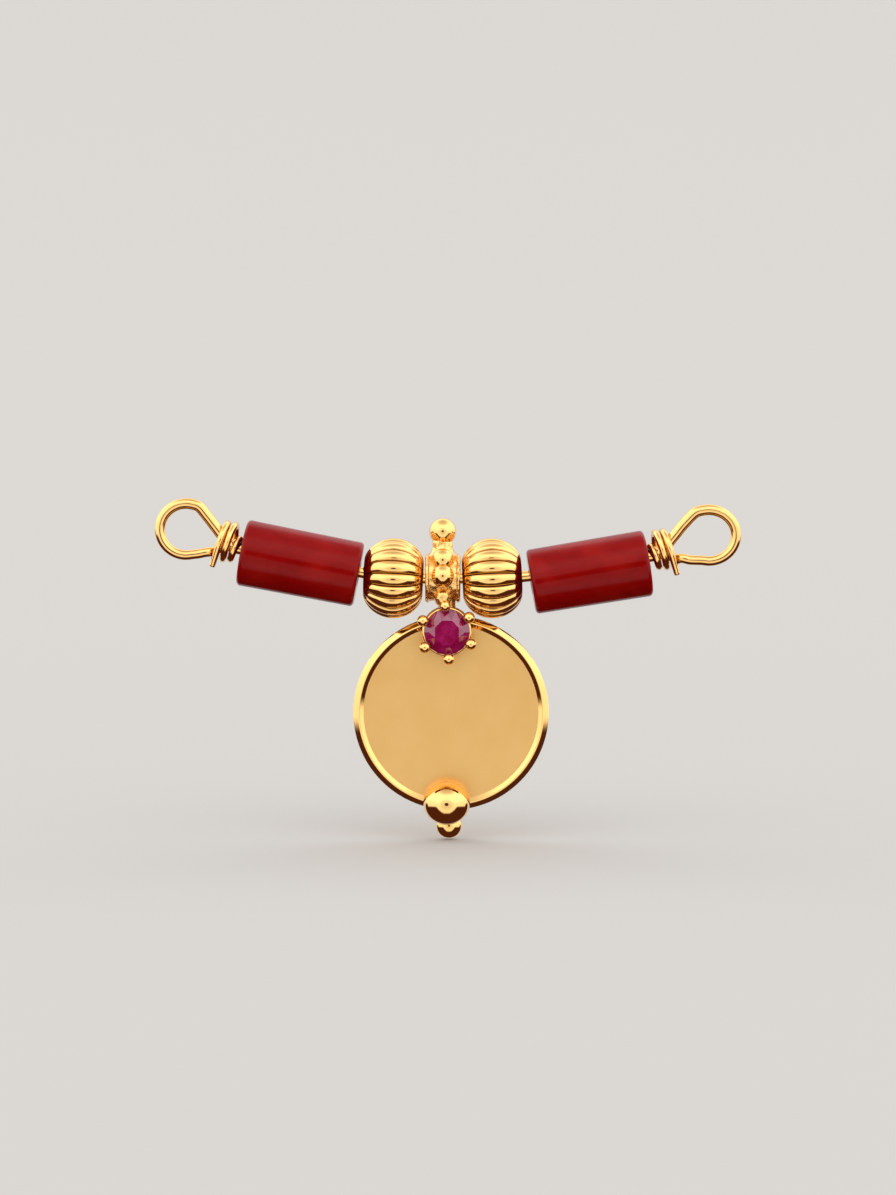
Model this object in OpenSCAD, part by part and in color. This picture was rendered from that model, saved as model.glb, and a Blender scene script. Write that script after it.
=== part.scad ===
// Gold thali pendant. A plain disc drop hangs by its bail between two ribbed beads and two
// coral tubes, all on one wire whose ends are wrapped into loops for a necklace.
// Millimetres. +X to the viewer's right, -Y to the front, +Z up. The origin is the middle of
// the line between the two loops' centres, where a necklace holds the pendant.

/* [Wire] */
// Thickness of the gold wire
wire_d = 0.82; // [0.78:0.01:0.83]
// Thickness that it has been drawn down to at the end of its loops
return_d = 0.71; // [0.64:0.01:0.72]
// Thickness in the wraps
wrap_d = 0.5; // [0.46:0.01:0.5]
// Thickness at the cut tips
tip_d = 0.44; // [0.3:0.02:0.6]
// Sideways distance of each loop's centre from the bail's middle, left and right
loop_x = [18.56, 19.23];
// Height of each loop's centre above the axis that the drop hangs on, left and right
loop_rise = [3.53, 3.09];
// Half width of each loop, to the middle of the wire, left and right
loop_half_width = [1.91, 2];
// Half height of each loop, to the middle of the wire, left and right
loop_half_height = [1.87, 1.86];
// Slope of the wire through each coral tube, in degrees, left and right
wire_slope = [10.9, 9.4];

/* [Coral tubes] */
// Length of a coral tube
coral_len = 8.6; // [8.3:0.1:8.8]
// Diameter of a coral tube at its outer end
coral_d = 4.84; // [4:0.1:5.2]
// How much thinner a coral tube is at its inner end
coral_taper = 0.14; // [0:0.02:0.3]
// Radius of a coral tube's rounded edges
coral_edge = 0.3; // [0.15:0.05:0.5]
// Diameter of the hole drilled through a coral tube
coral_bore_d = 1.8; // [1.8:0.05:2]

/* [Ribbed beads] */
// Diameter over the ribs
melon_d = 5.86; // [5.2:0.02:5.9]
// Diameter where the ribs end
melon_end_d = 2.6; // [2.4:0.1:3]
// Length of a ribbed bead
melon_len = 4.3; // [4:0.05:4.3]
// How far each bead tilts up outwards, in degrees
melon_tilt = 2.5; // [2:0.5:3]
// Number of ribs round each bead
rib_count = 18; // [12:1:20]
// Depth of the grooves between ribs at the bead's middle
rib_depth = 0.26; // [0.1:0.02:0.3]
// Diameter of the bead's hole
melon_bore_d = 1.52; // [1.52:0.02:1.7]

/* [Bail] */
// Outer diameter of the bail tube
bail_d = 3.34; // [3.2:0.02:3.5]
// Length of the bail tube
bail_len = 2.56; // [2.5:0.02:2.6]
// Clearance all round the wire in the bail
bail_play = 0.06; // [0.03:0.01:0.09]
// Diameter of the ball on top of the bail
finial_d = 1.96; // [1.8:0.02:2.1]
// Height of that ball's centre above the bail's axis
finial_z = 3.38; // [3.2:0.02:3.5]

/* [Disc] */
// Diameter of the disc
disc_d = 14.2; // [13.6:0.1:14.2]
// Depth of the disc's centre below the bail's axis
disc_drop = 9.8; // [9.8:0.05:10]
// How far the disc's centre line stands to the right of the bail's middle
disc_shift = 0.6; // [0.4:0.05:0.6]
// How far the disc's middle plane stands behind the bail's axis
disc_back = 0.36; // [0.3:0.01:0.4]
// Thickness of the disc inside its rim
disc_t = 0.55; // [0.5:0.05:0.6]
// Width of the raised rim
rim_w = 0.74; // [0.68:0.02:0.9]
// Height of the rim above the disc's face
rim_h = 0.24; // [0.15:0.01:0.3]

/* [Setting and ruby] */
// Depth of the setting's centre below the bail's axis
stone_drop = 3.84; // [3.84:0.01:3.92]
// How far the setting stands to the right of the bail's middle
setting_shift = 0.3; // [0.2:0.05:0.4]
// Diameter of the ruby at its girdle
ruby_d = 3.32; // [3.1:0.01:3.32]
// Distance of each prong's middle from the setting's centre
prong_ring_r = 1.92; // [1.9:0.01:1.94]
// Diameter of a prong
prong_d = 0.42; // [0.36:0.01:0.42]
// Diameter of the ball on a prong's tip
prong_ball_d = 0.84; // [0.74:0.01:0.86]
// How far the six prongs are turned from straight up, in degrees
prong_turn = 4; // [0:1:6]

/* [Foot balls] */
// Diameter of the large ball at the disc's foot
foot_ball_d = 3.38; // [3.2:0.02:3.4]
// Height of the large ball as a share of its diameter
foot_ball_flat = 0.92; // [0.88:0.01:1]
// How far the large ball stands to the right of the bail's middle
foot_shift = 0.28; // [0.2:0.02:0.4]
// Diameter of the small ball under it
drip_ball_d = 1.92; // [1.8:0.02:2]
// How far the small ball stands to the right of the bail's middle
drip_shift = 0.45; // [0.35:0.05:0.55]

/* [Hidden] */
$fn = 64;

gold = [0.86, 0.66, 0.27];
coral_red = [0.62, 0.13, 0.11];
ruby_red = [0.55, 0.0, 0.22];

// The bail's middle: the origin is halfway between the two loops' centres
bail_x = (loop_x[0] - loop_x[1]) / 2;
axis_z = -(loop_rise[0] + loop_rise[1]) / 2;
wire_r = wire_d / 2;

// Wire: level through the bail, then a shallow bend up into the slope. Left and right: where the
// level and sloping lines meet, how far from there a coral tube's middle is, and how low it hangs.
bend_x = [3.75, 5.54];
bend_half = 1.85;
bend_rings = 6;
coral_out = [6.63, 5.08];
coral_hang = [0.2, 0.43];

// Wrapped neck of a loop, in the stem's own frame with its zero at the coral's outer face.
// Columns: along the stem, up, back.
rise_knots = [
    [0.35, 0.00, 0.00],
    [0.70, 0.00, 0.00],
    [1.02, 0.14, 0.00],
    [1.36, 0.43, 0.00],
    [1.85, 0.88, 0.00],
    [2.45, 1.42, 0.00],
    [3.03, 1.93, 0.00]
];
lower_knots = [
    [3.05, -0.89, 0.00],
    [2.70, -0.74, 0.00],
    [2.38, -0.64, 0.05]
];
// How much higher the lower strand lies, left and right
lower_lift = [0, 0.16];
return_knots = [
    [2.10, -0.54, 0.26],
    [1.86, -0.36, 0.59],
    [1.58, -0.12, 0.80],
    [1.22, 0.04, 0.81],
    [0.92, 0.12, 0.80],
    [0.67, 0.22, 0.79],
    [0.50, 0.42, 0.71]
];
// Ring of the loop, by angle from straight out, over the top and down to the foot
ring_first = 120;
ring_last = -104;
ring_step = 16;
ring_count = (ring_first - ring_last) / ring_step;
// Wraps: they start above and behind the stem, widen over the returning strand, and end in a
// cut tip in front
wrap_first = 60;
wrap_last = 920;
wrap_step = 20;
wrap_start_u = 0.37;
wrap_pitch = 0.55;
wrap_lean = 0.07;
wrap_gap = 0.05;
wrap_r = (wire_d + wrap_d) / 2 + wrap_gap;
wrap_shift = 0.33;
wrap_grow = 0.59;
widen_from = 190;
widen_to = 320;
tip_len = 1.5;
wire_sides = 12;
curve_steps = 3;

// Ribbed beads: the gap to the bail, how slowly they swell from their ends, and how fast the
// grooves deepen from there
bead_gap = 0.14;
melon_x = bail_len / 2 + bead_gap;
melon_steps = 12;
melon_swell = 1.2;
rib_fade = 1.6;
rib_samples = 6;

// Bail: the bead round each of its ends, and the balls soldered on its front.
// Columns of the balls: place along X, Y and Z from the bail's middle, diameter.
end_bead_d = 0.32;
end_bead_sink = 0.04;
bail_balls = [
    [0, -1.20, 1.36, 1.66],
    [0, -1.78, 0.23, 1.66],
    [0, -1.20, -1.31, 1.44]
];

// Neck on top of the bail, by its heights above the bail's axis
neck_r = 0.76;
neck_flare = 0.5;
neck_curve = 3.3;
neck_foot_z = 1.2;
neck_low_z = 1.62;
neck_high_z = 2.6;
neck_steps = 9;
neck_pin_r = 0.73;

// Post between the bail and the disc
post_d = 1.3;
post_y = 0.12;
post_foot_z = -3;
post_len = 2;
post_shift = 0.3;

// Disc, and the face that the setting stands on
disc_r = disc_d / 2;
face_y = disc_back - disc_t / 2;
disc_back_bevel = 0.12;
rim_side_top = 0.28;
rim_crest_share = 0.6;
rim_crest_flat = 0.06;

// Setting: heights are from the disc's face towards the front
// Columns of its two rings: distance inside the prongs' middles, thickness, height.
setting_rings = [
    [0.30, 0.44, 0.12],
    [0.28, 0.3, 0.8]
];
prong_foot_h = 0.12;
girdle_h = 1.38;
prong_tip_h = girdle_h + 0.43;

// Foot balls, by their depths below the bail's axis
foot_ball_z = -16.25;
foot_ball_out = 1.5;
foot_ball_steps = 20;
drip_ball_z = -18.05;
drip_stem_r = 0.5;
drip_stem_top = -16.55;

// Ruby
ruby_r = ruby_d / 2;
ruby_sides = 16;
ruby_table_r = 0.56 * ruby_r;
ruby_crown_h = 0.5;
ruby_girdle_h = 0.1;
ruby_pavilion_h = 1.12;

// Point on a smooth curve between p1 and p2, with neighbours p0 and p3, at t from 0 to 1
function curve_point(p0, p1, p2, p3, t) =
    0.5 * (2 * p1 + (p2 - p0) * t + (2 * p0 - 5 * p1 + 4 * p2 - p3) * t * t
           + (3 * p1 - p0 - 3 * p2 + p3) * t * t * t);

// The knots joined by a smooth curve, with a few points between neighbours
function curve(knots) = [
    for (i = [0 : len(knots) - 2])
        for (k = [0 : curve_steps - 1])
            curve_point(
                knots[max(i - 1, 0)], knots[i], knots[i + 1],
                knots[min(i + 2, len(knots) - 1)], k / curve_steps
            ),
    knots[len(knots) - 1]
];

// A place beside the bail's middle from its distance along the sloping wire of a side (0 left,
// 1 right), up from it and back
function beside(side, along, up, back) =
    let (c = cos(wire_slope[side]), s = sin(wire_slope[side]))
    [bend_x[side] + along * c - up * s, back, along * s + up * c];

// A place given in the stem's frame, as a place beside the bail's middle
function from_stem(side, p) =
    beside(side, coral_out[side] + coral_len / 2 + p[0], p[1], p[2]);

// A point with the wire's thickness there as a fourth number
function thick(p, d) = [p[0], p[1], p[2], d];

// Share of the way that the wraps have widened at a turn angle, from 0 to 1
function widened(a) = min(max((a - widen_from) / (widen_to - widen_from), 0), 1);

// A point of the wraps at a turn angle: 0 behind the stem, 90 on top, 180 in front
function wrap_point(a) =
    let (k = widened(a), r = wrap_r + wrap_grow * k)
    [
        wrap_start_u + wrap_pitch * (a - wrap_first) / 360 - wrap_lean * r * sin(a),
        wrap_shift * k + r * sin(a),
        wrap_shift * k + r * cos(a)
    ];

// One half of the wire from near the bail's middle out to its cut tip
function half_path(side) =
    let (
        bend = [
            for (i = [0 : bend_rings])
                let (x = 2 * bend_half * i / bend_rings)
                [bend_x[side] - bend_half + x, 0, tan(wire_slope[side]) * x * x / (4 * bend_half)]
        ],
        ring = [
            for (i = [0 : ring_count])
                let (a = ring_first - ring_step * i)
                thick([
                    loop_x[side] + loop_half_width[side] * cos(a),
                    0,
                    loop_rise[side] + loop_half_height[side] * sin(a)
                ], wire_d + (return_d - wire_d) * i / ring_count)
        ],
        lower = [for (p = lower_knots) p + [0, lower_lift[side], 0]],
        wraps = [
            for (a = [wrap_first : wrap_step : wrap_last])
                thick(from_stem(side, wrap_point(a)), wrap_d)
        ],
        last = from_stem(side, wrap_point(wrap_last)),
        heading = last - from_stem(side, wrap_point(wrap_last - wrap_step / 2)),
        tip = last + heading * tip_len / norm(heading)
    )
    concat(
        [for (p = bend) thick(p, wire_d)],
        curve(concat(
            [for (p = rise_knots) thick(from_stem(side, p), wire_d)],
            ring,
            [for (p = lower) thick(from_stem(side, p), return_d)],
            [for (p = return_knots) thick(from_stem(side, p), return_d)],
            [wraps[0]]
        )),
        [for (i = [1 : len(wraps) - 1]) wraps[i]],
        [thick(tip, tip_d)]
    );

function reversed(points) = [for (i = [len(points) - 1 : -1 : 0]) points[i]];
function unit(v) = v / norm(v);
function heading_at(points, i) =
    unit(points[min(i + 1, len(points) - 1)] - points[max(i - 1, 0)]);

// Side directions carried along the path without twisting
function carried(points, i, side) =
    let (t = heading_at(points, i), s = unit(side - (side * t) * t))
    i == len(points) - 1 ? [s] : concat([s], carried(points, i + 1, s));

// A round bar along a path whose points hold its thickness as their fourth number
module swept_bar(path, sides) {
    n = len(path);
    points = [for (p = path) [p[0], p[1], p[2]]];
    side = carried(points, 0, [0, 0, 1]);
    verts = [
        for (i = [0 : n - 1])
            let (across = cross(heading_at(points, i), side[i]), r = path[i][3] / 2)
            for (k = [0 : sides - 1])
                points[i] + r * (side[i] * cos(360 * k / sides) + across * sin(360 * k / sides))
    ];
    walls = [
        for (i = [0 : n - 2])
            for (k = [0 : sides - 1])
                let (a = i * sides + k, b = i * sides + (k + 1) % sides)
                for (f = [[a, a + sides, b + sides], [a, b + sides, b]])
                    f
    ];
    start_cap = [for (k = [0 : sides - 1]) k];
    end_cap = [for (k = [sides - 1 : -1 : 0]) (n - 1) * sides + k];
    polyhedron(verts, concat(walls, [start_cap, end_cap]));
}

module wire() {
    left = [for (p = half_path(0)) [-p[0], p[1], p[2], p[3]]];
    color(gold)
        translate([bail_x, 0, axis_z])
            swept_bar(concat(reversed(left), half_path(1)), wire_sides);
}

// A coral tube of one side, beside the bail's middle
module coral_tube(side) {
    r_in = (coral_d - coral_taper) / 2;
    r_out = coral_d / 2;
    e = coral_edge;
    corner = [for (a = [0 : 15 : 90]) [sin(a), cos(a)]];
    outline = concat(
        [[coral_bore_d / 2, 0]],
        [for (c = corner) [r_in - e + e * c[0], e - e * c[1]]],
        [for (i = [len(corner) - 1 : -1 : 0])
            [r_out - e + e * corner[i][0], coral_len - e + e * corner[i][1]]],
        [[coral_bore_d / 2, coral_len]]
    );
    translate(beside(side, coral_out[side] - coral_len / 2, -coral_hang[side], 0))
        rotate([0, 90 - wire_slope[side], 0])
            rotate_extrude() polygon(outline);
}

module coral_left() {
    color(coral_red) translate([bail_x, 0, axis_z]) mirror([1, 0, 0]) coral_tube(0);
}

module coral_right() {
    color(coral_red) translate([bail_x, 0, axis_z]) coral_tube(1);
}

// A ribbed bead for the right side: one closed outline of the bead and its hole, carried round X,
// with each rib a round cushion between two narrow grooves
module melon_bead() {
    bore_r = melon_bore_d / 2;
    end_r = melon_end_d / 2;
    columns = rib_count * rib_samples;
    // Columns: place along X, radius, share of the full groove depth
    outline = concat(
        [[melon_x, bore_r, 0], [melon_x, end_r, 0]],
        [for (i = [1 : melon_steps - 1])
            let (a = 180 * i / melon_steps)
            [
                melon_x + melon_len / 2 * (1 - cos(a)),
                end_r + (melon_d / 2 - end_r) * pow(sin(a), melon_swell),
                min(1, rib_fade * sin(a))
            ]],
        [[melon_x + melon_len, end_r, 0], [melon_x + melon_len, bore_r, 0]]
    );
    rows = len(outline);
    verts = [
        for (p = outline)
            for (k = [0 : columns - 1])
                let (
                    across = 2 * (k % rib_samples) / rib_samples - 1,
                    r = p[1] - rib_depth * p[2] * (1 - sqrt(1 - across * across)),
                    a = 360 * k / columns
                )
                [p[0], r * cos(a), r * sin(a)]
    ];
    faces = [
        for (i = [0 : rows - 1])
            for (k = [0 : columns - 1])
                let (
                    a = i * columns + k,
                    b = i * columns + (k + 1) % columns,
                    c = ((i + 1) % rows) * columns + (k + 1) % columns,
                    d = ((i + 1) % rows) * columns + k
                )
                for (f = [[a, c, b], [a, d, c]])
                    f
    ];
    middle = melon_x + melon_len / 2;
    translate([middle, 0, 0])
        rotate([0, -melon_tilt, 0])
            translate([-middle, 0, 0])
                polyhedron(verts, faces);
}

module melon_bead_left() {
    color(gold) translate([bail_x, 0, axis_z]) mirror([1, 0, 0]) melon_bead();
}

module melon_bead_right() {
    color(gold) translate([bail_x, 0, axis_z]) melon_bead();
}

// A ring of round wire whose axis runs front to back, at a height above the disc's face
module wire_ring(r, thick, h) {
    translate([0, -h, 0]) rotate([90, 0, 0]) rotate_extrude() translate([r, 0]) circle(d = thick);
}

// Bail tube with a bead round each end, and the balls soldered on its front
module bail() {
    rotate([0, 90, 0]) cylinder(d = bail_d, h = bail_len, center = true);
    for (s = [-1, 1])
        translate([s * (bail_len - end_bead_d) / 2, 0, 0])
            rotate([0, 90, 0])
                rotate_extrude() translate([bail_d / 2 - end_bead_sink, 0]) circle(d = end_bead_d);
    for (b = bail_balls)
        translate([b[0], b[1], b[2]]) sphere(d = b[3]);
}

// Ball on a flared neck on top of the bail
module finial() {
    outline = concat(
        [[0, neck_foot_z], [neck_r + neck_flare, neck_foot_z]],
        [for (i = [0 : neck_steps])
            let (q = i / neck_steps)
            [neck_r + neck_flare * pow(1 - q, neck_curve), neck_low_z + (neck_high_z - neck_low_z) * q]],
        [[0, neck_high_z]]
    );
    rotate_extrude() polygon(outline);
    translate([0, 0, neck_low_z]) cylinder(r = neck_pin_r, h = finial_z - neck_low_z);
    translate([0, 0, finial_z]) sphere(d = finial_d);
}

// Disc with a raised rim: a flat face, a slope up to the crest, and a straight bevel outside it
module disc() {
    crest_r = disc_r - rim_w * rim_crest_share;
    outline = [
        [0, -disc_t / 2],
        [disc_r - disc_back_bevel, -disc_t / 2],
        [disc_r, -disc_t / 2 + disc_back_bevel],
        [disc_r, rim_side_top],
        [crest_r + rim_crest_flat / 2, disc_t / 2 + rim_h],
        [crest_r - rim_crest_flat / 2, disc_t / 2 + rim_h],
        [disc_r - rim_w, disc_t / 2],
        [0, disc_t / 2]
    ];
    rotate([90, 0, 0]) rotate_extrude($fn = 128) polygon(outline);
}

// Six ball-tipped prongs on two rings
module setting() {
    for (g = setting_rings)
        wire_ring(prong_ring_r - g[0], g[1], g[2]);
    for (i = [0 : 5])
        rotate([0, -(90 + prong_turn + 60 * i), 0])
            translate([prong_ring_r, -prong_foot_h, 0])
                rotate([90, 0, 0]) {
                    cylinder(d = prong_d, h = prong_tip_h - prong_foot_h);
                    translate([0, 0, prong_tip_h - prong_foot_h]) sphere(d = prong_ball_d);
                }
}

// Large ball soldered on the disc's foot, and the small one under its edge
module foot_balls() {
    r = foot_ball_d / 2;
    outline = [
        for (i = [0 : foot_ball_steps])
            let (a = 180 * i / foot_ball_steps - 90)
            [r * cos(a), r * foot_ball_flat * sin(a)]
    ];
    translate([foot_shift, disc_back - foot_ball_out, foot_ball_z]) rotate_extrude() polygon(outline);
    translate([drip_shift, disc_back, drip_ball_z]) {
        sphere(d = drip_ball_d);
        cylinder(r = drip_stem_r, h = drip_stem_top - drip_ball_z);
    }
}

module thali() {
    color(gold)
        translate([bail_x, 0, axis_z])
            difference() {
                union() {
                    bail();
                    finial();
                    translate([post_shift, post_y, post_foot_z]) cylinder(d = post_d, h = post_len);
                    translate([setting_shift, face_y, -stone_drop]) setting();
                    translate([disc_shift, disc_back, -disc_drop]) disc();
                    foot_balls();
                }
                rotate([0, 90, 0]) cylinder(r = wire_r + bail_play, h = 2 * bail_len, center = true);
            }
}

// Round stone: an eight-sided table, crown facets down to the girdle, and a pointed pavilion
module ruby() {
    half = ruby_girdle_h / 2;
    table_corners = ruby_sides / 2;
    verts = concat(
        [for (k = [0 : table_corners - 1])
            [ruby_table_r * cos(45 * k), ruby_table_r * sin(45 * k), half + ruby_crown_h]],
        [for (k = [0 : ruby_sides - 1]) [ruby_r * cos(22.5 * k), ruby_r * sin(22.5 * k), half]],
        [for (k = [0 : ruby_sides - 1]) [ruby_r * cos(22.5 * k), ruby_r * sin(22.5 * k), -half]],
        [[0, 0, -half - ruby_pavilion_h]]
    );
    top = table_corners;
    low = top + ruby_sides;
    culet = low + ruby_sides;
    crown = [
        for (k = [0 : table_corners - 1])
            let (next = (k + 1) % table_corners, g = 2 * k, after = (2 * k + 2) % ruby_sides)
            for (f = [
                [k, top + g, top + g + 1],
                [k, top + g + 1, next],
                [next, top + g + 1, top + after]
            ])
                f
    ];
    sides = [
        for (k = [0 : ruby_sides - 1])
            let (n = (k + 1) % ruby_sides)
            for (f = [[top + k, low + k, low + n, top + n], [low + k, culet, low + n]])
                f
    ];
    table = [[for (k = [0 : table_corners - 1]) k]];
    flipped = [for (f = concat(crown, sides, table)) reversed(f)];
    color(ruby_red)
        translate([bail_x + setting_shift, face_y - girdle_h, axis_z - stone_drop])
            rotate([90, 0, 0])
                polyhedron(verts, flipped);
}

wire();
coral_left();
coral_right();
melon_bead_left();
melon_bead_right();
thali();
ruby();
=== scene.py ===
import math

import bmesh
import bpy
import numpy as np
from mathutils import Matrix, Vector


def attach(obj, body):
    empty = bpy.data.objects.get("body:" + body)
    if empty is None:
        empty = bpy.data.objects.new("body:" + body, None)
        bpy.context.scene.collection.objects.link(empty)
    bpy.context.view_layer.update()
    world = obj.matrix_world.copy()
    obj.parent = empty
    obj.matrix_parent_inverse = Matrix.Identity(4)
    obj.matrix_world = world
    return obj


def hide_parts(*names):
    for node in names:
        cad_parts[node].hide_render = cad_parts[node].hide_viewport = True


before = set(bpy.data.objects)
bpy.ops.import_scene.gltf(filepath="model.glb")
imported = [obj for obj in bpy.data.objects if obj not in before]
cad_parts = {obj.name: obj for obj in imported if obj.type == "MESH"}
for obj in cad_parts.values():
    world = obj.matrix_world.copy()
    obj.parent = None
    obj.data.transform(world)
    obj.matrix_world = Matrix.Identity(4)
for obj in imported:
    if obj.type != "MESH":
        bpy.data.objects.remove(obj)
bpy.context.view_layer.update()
print("frame loaded:", len(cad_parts), "CAD nodes")

mm = 0.001
# millimetres from the origin to the bail's middle; the shapes below are worked out in millimetres
bailMiddle = np.array([-0.335, 0.0, -3.31])
weldReach = 0.0005             # a surface's points nearer to each other than this become one
seamReach = 0.003              # and so do points this near along the seams of a union

# A shell is a dictionary: "points" (n x 3), "quads" (m x 4), "uv" (m x 4 x 2), "finish" (the
# place in the piece's list of materials, one for the shell or one for each quad)


# A grid of points P(row, column) to a shell: each quad joins the corners (i, j), (i, j+1),
# (i+1, j+1), (i+1, j), and uv is the share of the way along each side times that side's length
def gridShell(points, closeRows=False, closeColumns=True, uvSize=(1.0, 1.0), finish=0):
    rows, columns = points.shape[:2]
    rowSteps = rows if closeRows else rows - 1
    columnSteps = columns if closeColumns else columns - 1
    i, j = np.meshgrid(np.arange(rowSteps), np.arange(columnSteps), indexing="ij")
    i, j = i.ravel(), j.ravel()
    cornerRows = np.stack([i, i, i + 1, i + 1], 1)
    cornerColumns = np.stack([j, j + 1, j + 1, j], 1)
    quads = (cornerRows % rows) * columns + cornerColumns % columns
    uv = np.stack([cornerColumns / columnSteps * uvSize[0], cornerRows / rowSteps * uvSize[1]], 2)
    shell = {"points": points.reshape(-1, 3).astype(float), "quads": quads, "uv": uv, "finish": finish}
    return facingOut(shell)


# The volume inside a shell is a sixth of the sum over its triangles of a . (b x c); a shell where
# that sum comes out negative has its faces turned round
def facingOut(shell):
    p = shell["points"] - shell["points"].mean(0)
    a, b, c, d = (p[shell["quads"][:, k]] for k in range(4))
    sixVolumes = (a * np.cross(b, c)).sum(1) + (a * np.cross(c, d)).sum(1)
    if sixVolumes.sum() < 0:
        shell["quads"] = shell["quads"][:, ::-1]
        shell["uv"] = shell["uv"][:, ::-1]
    return shell


# A profile (radius r_i, height h_i) carried round an axis: P(i, j) = r_i (cos t_j, sin t_j), h_i
def turned(profile, sides, at, axis="z", closeRows=False, finish=0):
    profile = np.asarray(profile, float)
    t = np.linspace(0, 2 * np.pi, sides, endpoint=False)
    x = profile[:, :1] * np.cos(t)
    y = profile[:, :1] * np.sin(t)
    h = np.repeat(profile[:, 1:2], sides, 1)
    points = {"z": np.stack([x, y, h], 2),          # heights run up
              "y": np.stack([x, -h, y], 2),         # heights run to the front
              "x": np.stack([h, x, y], 2)}[axis]    # heights run to the right
    run = np.abs(np.diff(profile, axis=0)).sum()
    return gridShell(points + np.asarray(at, float), closeRows, True,
                     (profile[:, 0].max() * 2 * np.pi, run), finish)


# A ball: the profile r = R sin a, h = -flat R cos a, with a from 0 to pi in rows, turned in sides
def ballShell(diameter, at, rowsAndSides, flat=1.0, finish=0):
    a = np.linspace(0, np.pi, rowsAndSides[0])
    profile = np.stack([np.sin(a), -flat * np.cos(a)], 1) * diameter / 2
    return turned(profile, rowsAndSides[1], at, finish=finish)


# Part of a circle: (x + r cos a, y + r sin a), with a between two angles in degrees
def arc(x, y, r, start, end, steps):
    a = np.radians(np.linspace(start, end, steps))
    return np.stack([x + r * np.cos(a), y + r * np.sin(a)], 1)


# A ring of round wire: the circle (R + r cos b, r sin b) carried round
def ringShell(ringRadius, thickness, at, axis, sides=96, around=16):
    profile = arc(ringRadius, 0, thickness / 2, 0, 360, around + 1)[:-1]
    return turned(profile, sides, at, axis, closeRows=True)


# A shape's points are given for the right side, 1; on the left side, 0, their x turns to -x
def onSide(points, side):
    return points * np.array([-1.0, 1.0, 1.0]) if side == 0 else points


# An object for a mesh or a camera, put in the scene
def inScene(name, data):
    thing = bpy.data.objects.new(name, data)
    bpy.context.scene.collection.objects.link(thing)
    return thing


# Shells to one object in metres, with points that share a place made one, which closes poles
def shellObject(name, shells, materials, values=None):
    starts = np.cumsum([0] + [len(s["points"]) for s in shells])
    points = np.vstack([s["points"] for s in shells])
    quads = np.vstack([s["quads"] + start for s, start in zip(shells, starts)])
    uv = np.vstack([s["uv"] for s in shells])
    mesh = bpy.data.meshes.new(name)
    mesh.from_pydata((points * mm).tolist(), [], quads.tolist())
    mesh.uv_layers.new(name="surface").data.foreach_set("uv", uv.astype(np.float32).ravel())
    for key, data in (values or {}).items():
        mesh.attributes.new(key, "FLOAT", "POINT").data.foreach_set("value", data.astype(np.float32))
    for material in materials:
        mesh.materials.append(material)
    finish = np.concatenate([np.full(len(s["quads"]), s["finish"]) for s in shells])
    mesh.polygons.foreach_set("material_index", finish.astype(np.int32))
    work = bmesh.new()
    work.from_mesh(mesh)
    bmesh.ops.remove_doubles(work, verts=work.verts, dist=weldReach * mm)
    work.to_mesh(mesh)
    work.free()
    return inScene(name, mesh)


# Shades a piece smooth up to a sharp angle in degrees, or flat, and says the body that carries it
# and the CAD node that it stands in for
def finishPiece(piece, body, node, smooth=True, sharpAngle=38):
    mesh = piece.data
    mesh.polygons.foreach_set("use_smooth", [smooth] * len(mesh.polygons))
    if smooth:
        mesh.set_sharp_from_angle(angle=math.radians(sharpAngle))
    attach(piece, body)
    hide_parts(node)
    print("made", piece.name, len(mesh.vertices), "points")


# A screen colour in hex to the linear light that shaders use: c / 12.92 up to 0.04045, and
# ((c + 0.055) / 1.055) ^ 2.4 above
def linear(hexColor):
    c = np.array([int(hexColor[i:i + 2], 16) for i in (1, 3, 5)]) / 255
    return (*np.where(c <= 0.04045, c / 12.92, ((c + 0.055) / 1.055) ** 2.4).tolist(), 1.0)


# Adds a node: settings are its own properties, inputs are values or the sockets that feed it
def addNode(tree, kind, inputs=None, **settings):
    node = tree.nodes.new(kind)
    for key, value in settings.items():
        setattr(node, key, value)
    for key, value in (inputs or {}).items():
        if isinstance(value, bpy.types.NodeSocket):
            tree.links.new(value, node.inputs[key])
        else:
            node.inputs[key].default_value = value
    return node


# A material that is one shader, with its tree of nodes to build on
def newMaterial(name):
    material = bpy.data.materials.new(name)
    material.use_nodes = True
    tree = material.node_tree
    tree.nodes.clear()
    shader = addNode(tree, "ShaderNodeBsdfPrincipled")
    addNode(tree, "ShaderNodeOutputMaterial", {"Surface": shader.outputs["BSDF"]})
    return material, tree, shader


# A colour that turns to another where a value goes from a start to an end, by a share at most:
# gives the mixed colour and the share
def turnTo(tree, color, other, value, limits):
    start, end, most = limits
    share = addNode(tree, "ShaderNodeMapRange", {
        "Value": value, "From Min": start, "From Max": end, "To Min": 0.0, "To Max": most}).outputs["Result"]
    mix = addNode(tree, "ShaderNodeMix", {"Factor": share, "A": color, "B": linear(other)}, data_type="RGBA")
    return mix.outputs["Result"], share


print("tools ready")

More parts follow.
